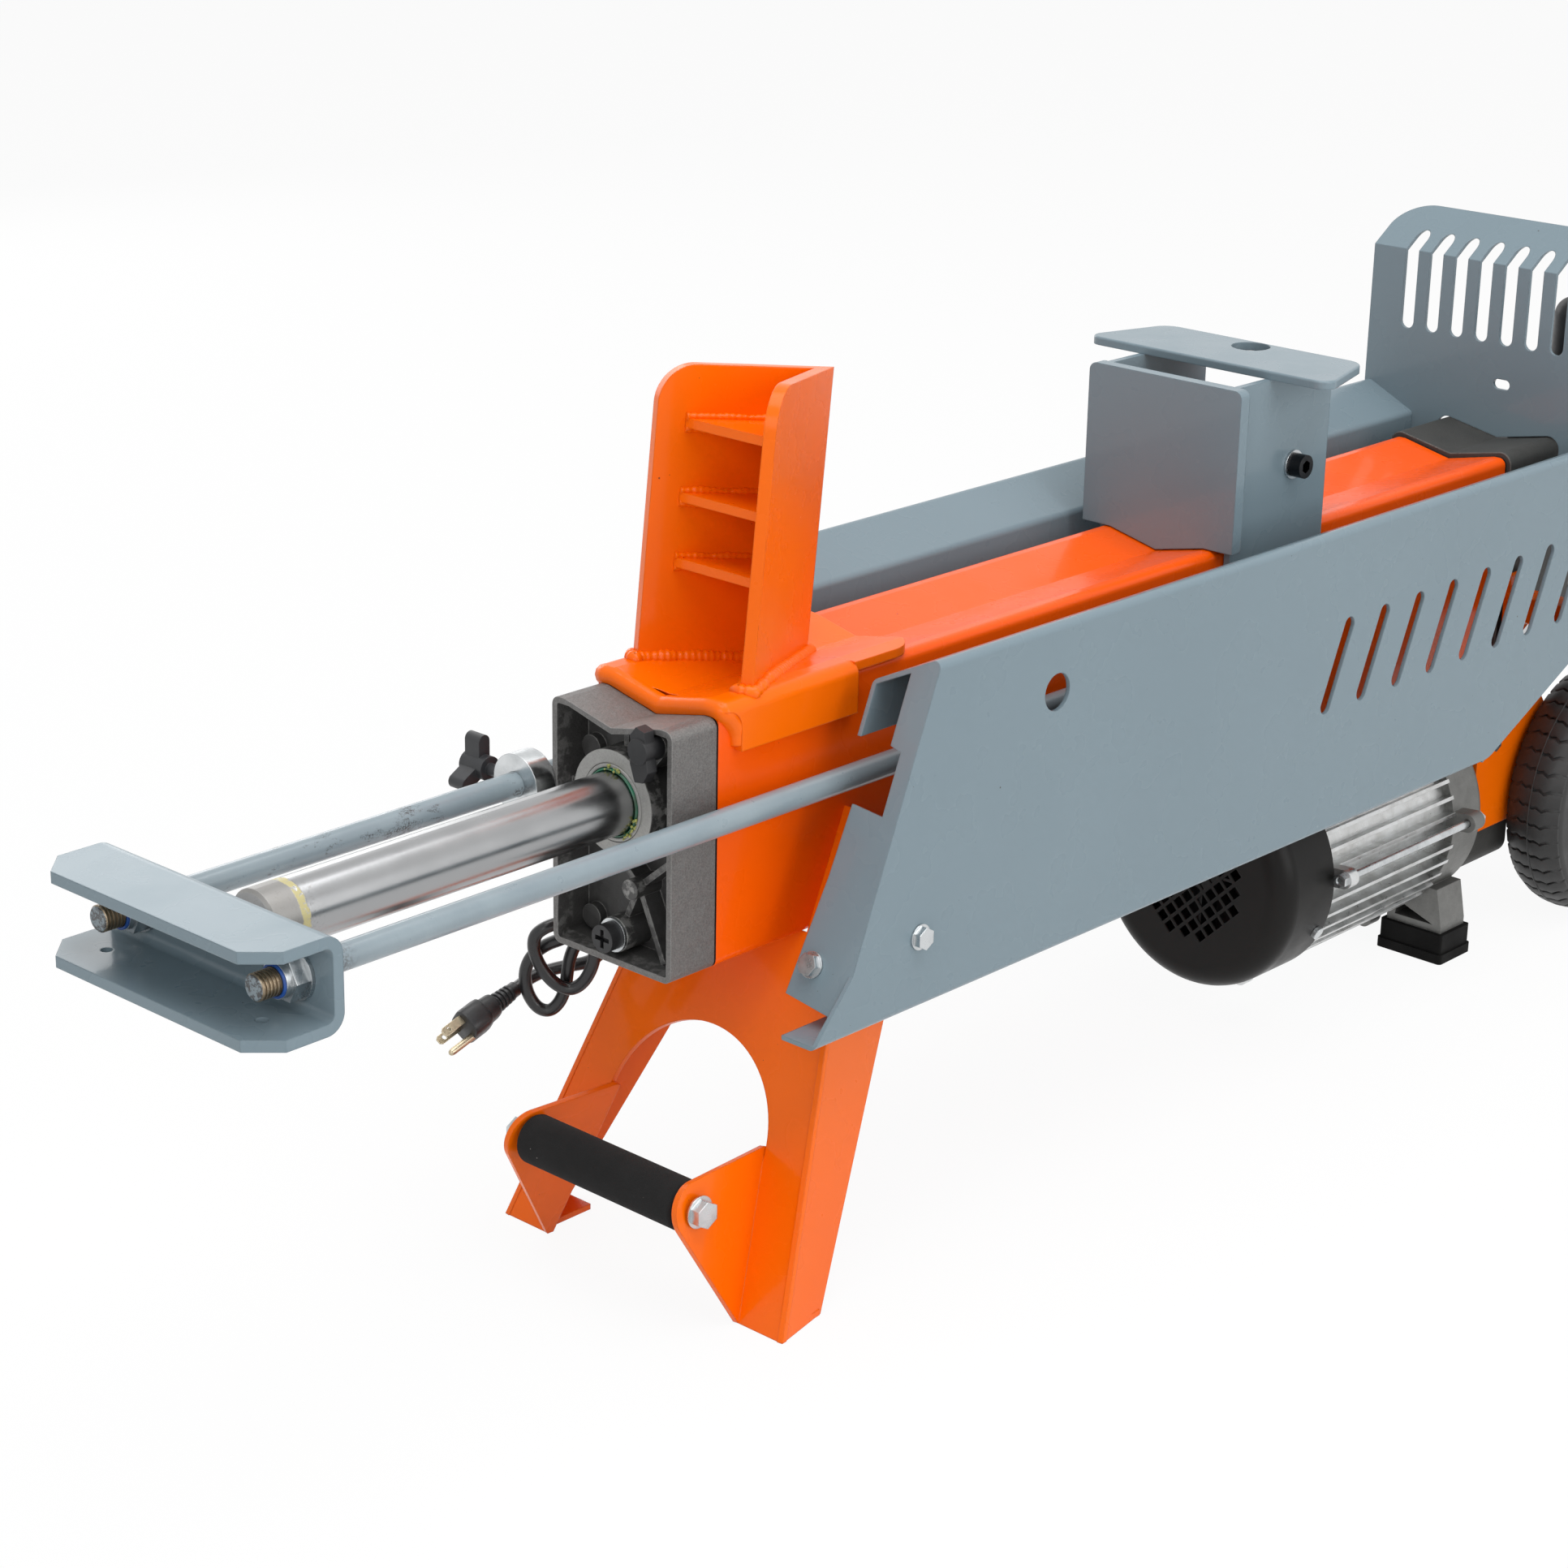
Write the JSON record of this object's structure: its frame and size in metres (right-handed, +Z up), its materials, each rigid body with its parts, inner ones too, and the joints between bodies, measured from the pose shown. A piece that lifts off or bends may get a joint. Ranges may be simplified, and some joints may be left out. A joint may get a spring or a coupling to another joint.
{
  "type": "electric horizontal log splitter",
  "caption": "Horizontal log splitter: a ram-driven pusher slides along a beam to force a log onto a fixed wedge, with guards, motor, pump, wheels and carrying handle.",
  "frame": {"origin": "on the ground, midway between the bolt holes of the two front feet", "axes": "+X along the beam from the ram's yoke at the front to the wheels at the rear, +Y to the right side, +Z up"},
  "size_m": [1.494, 0.2694, 0.5794],
  "materials": {
    "orange_paint": "thick gloss paint over welded steel",
    "grey_paint": "gloss blue-grey paint on folded sheet",
    "cast_aluminium": "sand cast, open ribbed pockets darker",
    "motor_aluminium": "extruded and die cast, plain",
    "rod_chrome": "hard chrome, ground",
    "bare_steel": "machined steel",
    "zinc": "bright zinc plating",
    "black_screw": "black oxide",
    "fan_cover_paint": "satin black paint on thin sheet",
    "black_plastic": "moulded, satin",
    "guide_plastic": "machined nylon",
    "black_rubber": "moulded rubber",
    "black_foam": "fine foam, matte",
    "seal_green": "polyurethane wiper ring",
    "cord_black": "glossy vinyl cord and plug",
    "plug_metal": "nickelled brass",
    "tyre_rubber": "black rubber tyre",
    "button_green": "moulded push button"
  },
  "bodies": {
    "machine": {"axle": "bare_steel", "axle_bracket": "orange_paint", "axle_nuts": "zinc", "beam_tank": "orange_paint", "cord_gland": "cord_black", "cord_loops": "cord_black", "cord_tube": "cord_black", "cylinder_tube": "bare_steel", "fan_cover": "fan_cover_paint", "fan_cover_screws": "zinc", "flange_bolts": "zinc", "front_cover": "cast_aluminium", "front_leg": "orange_paint", "gaskets": "black_rubber", "guard": "grey_paint", "handle_bar": "bare_steel", "handle_grip": "black_foam", "lever_pin": "bare_steel", "motor_boots": "black_rubber", "motor_end_bell": "motor_aluminium", "motor_stator": "motor_aluminium", "motor_through_bolts": "zinc", "oil_plug_washer": "zinc", "plug_blades": "plug_metal", "plug_body": "cord_black", "rear_casting": "cast_aluminium", "rod_wiper_seal": "seal_green", "saddle": "orange_paint", "side_panel_left": "grey_paint", "side_panel_right": "grey_paint", "switch_box": "black_plastic", "tank_bolts": "bare_steel", "wedge_blades": "orange_paint", "wedge_gussets": "orange_paint"},
    "ram": {"yoke": "grey_paint", "yoke_nuts": "zinc", "ram_washers": "zinc", "tie_rods": "grey_paint", "piston_rod": "rod_chrome", "piston": "bare_steel", "pusher_frame": "grey_paint", "pusher_cap": "grey_paint", "pusher_guide_block": "guide_plastic", "pusher_screws": "black_screw"},
    "limiter": {"limiter_collar": "zinc"},
    "limiter_screw": {"limiter_knob": "black_plastic"},
    "bleed": {"bleed_screw": "black_plastic"},
    "filler": {"oil_plug": "black_plastic"},
    "lever": {"control_lever": "bare_steel", "lever_knob": "black_plastic"},
    "spool": {"valve_spool": "bare_steel"},
    "button": {"start_button": "button_green"},
    "wheel_left": {"wheel_hub_left": "black_plastic", "tyre_left": "tyre_rubber"},
    "wheel_right": {"wheel_hub_right": "black_plastic", "tyre_right": "tyre_rubber"},
    "rotor": {"rotor_shaft": "bare_steel", "cooling_fan": "black_plastic", "pump_drive_gear": "bare_steel"},
    "pump_idler": {"pump_driven_gear": "bare_steel"}
  },
  "joints": [
    {"name": "ram_slide", "type": "slide", "parent": "machine", "child": "ram", "axis": [-1, 0, 0], "range_m": [0, 0.29]},
    {"name": "limiter_slide", "type": "slide", "parent": "ram", "child": "limiter", "axis": [-1, 0, 0], "range_m": [0, 0.25]},
    {"name": "limiter_knob_turn", "type": "hinge", "parent": "limiter", "child": "limiter_screw", "pos_m": [-0.0633, 0.0677, 0.3297], "axis": [0, 1, 0], "range_deg": [0, 360]},
    {"name": "bleed_screw_turn", "type": "hinge", "parent": "machine", "child": "bleed", "pos_m": [-0.05, -0.033, 0.3745], "axis": [-1, 0, 0], "range_deg": [0, 720]},
    {"name": "oil_plug_turn", "type": "hinge", "parent": "machine", "child": "filler", "pos_m": [-0.052, 0.002, 0.243], "axis": [-1, 0, 0], "range_deg": [0, 1080]},
    {"name": "lever_pivot", "type": "hinge", "parent": "machine", "child": "lever", "pos_m": [1.003, -0.024, 0.428], "axis": [0, 1, 0], "range_deg": [0, 20], "stiffness_Nm_per_rad": 2.5, "springref_deg": -5.73},
    {"name": "spool_slide", "type": "slide", "parent": "machine", "child": "spool", "axis": [1, 0, 0], "range_m": [-0.007, 0]},
    {"name": "button_press", "type": "slide", "parent": "machine", "child": "button", "axis": [-1, 0, 0], "range_m": [0, 0.005], "stiffness_N_per_m": 300, "springref_m": -0.002},
    {"name": "wheel_left_spin", "type": "hinge", "parent": "machine", "child": "wheel_left", "pos_m": [0.985, -0.092, 0.104], "axis": [0, 1, 0], "continuous": true},
    {"name": "wheel_right_spin", "type": "hinge", "parent": "machine", "child": "wheel_right", "pos_m": [0.985, 0.092, 0.104], "axis": [0, 1, 0], "continuous": true},
    {"name": "rotor_spin", "type": "hinge", "parent": "machine", "child": "rotor", "pos_m": [0.7, 0, 0.115], "axis": [1, 0, 0], "continuous": true},
    {"name": "pump_idler_spin", "type": "hinge", "parent": "machine", "child": "pump_idler", "pos_m": [0.835, 0, 0.145], "axis": [1, 0, 0], "continuous": true}
  ],
  "couplings": [
    {"joint": "spool_slide", "follows": "lever_pivot", "m_per_rad": -0.0196},
    {"joint": "pump_idler_spin", "follows": "rotor_spin", "ratio": -1}
  ]
}
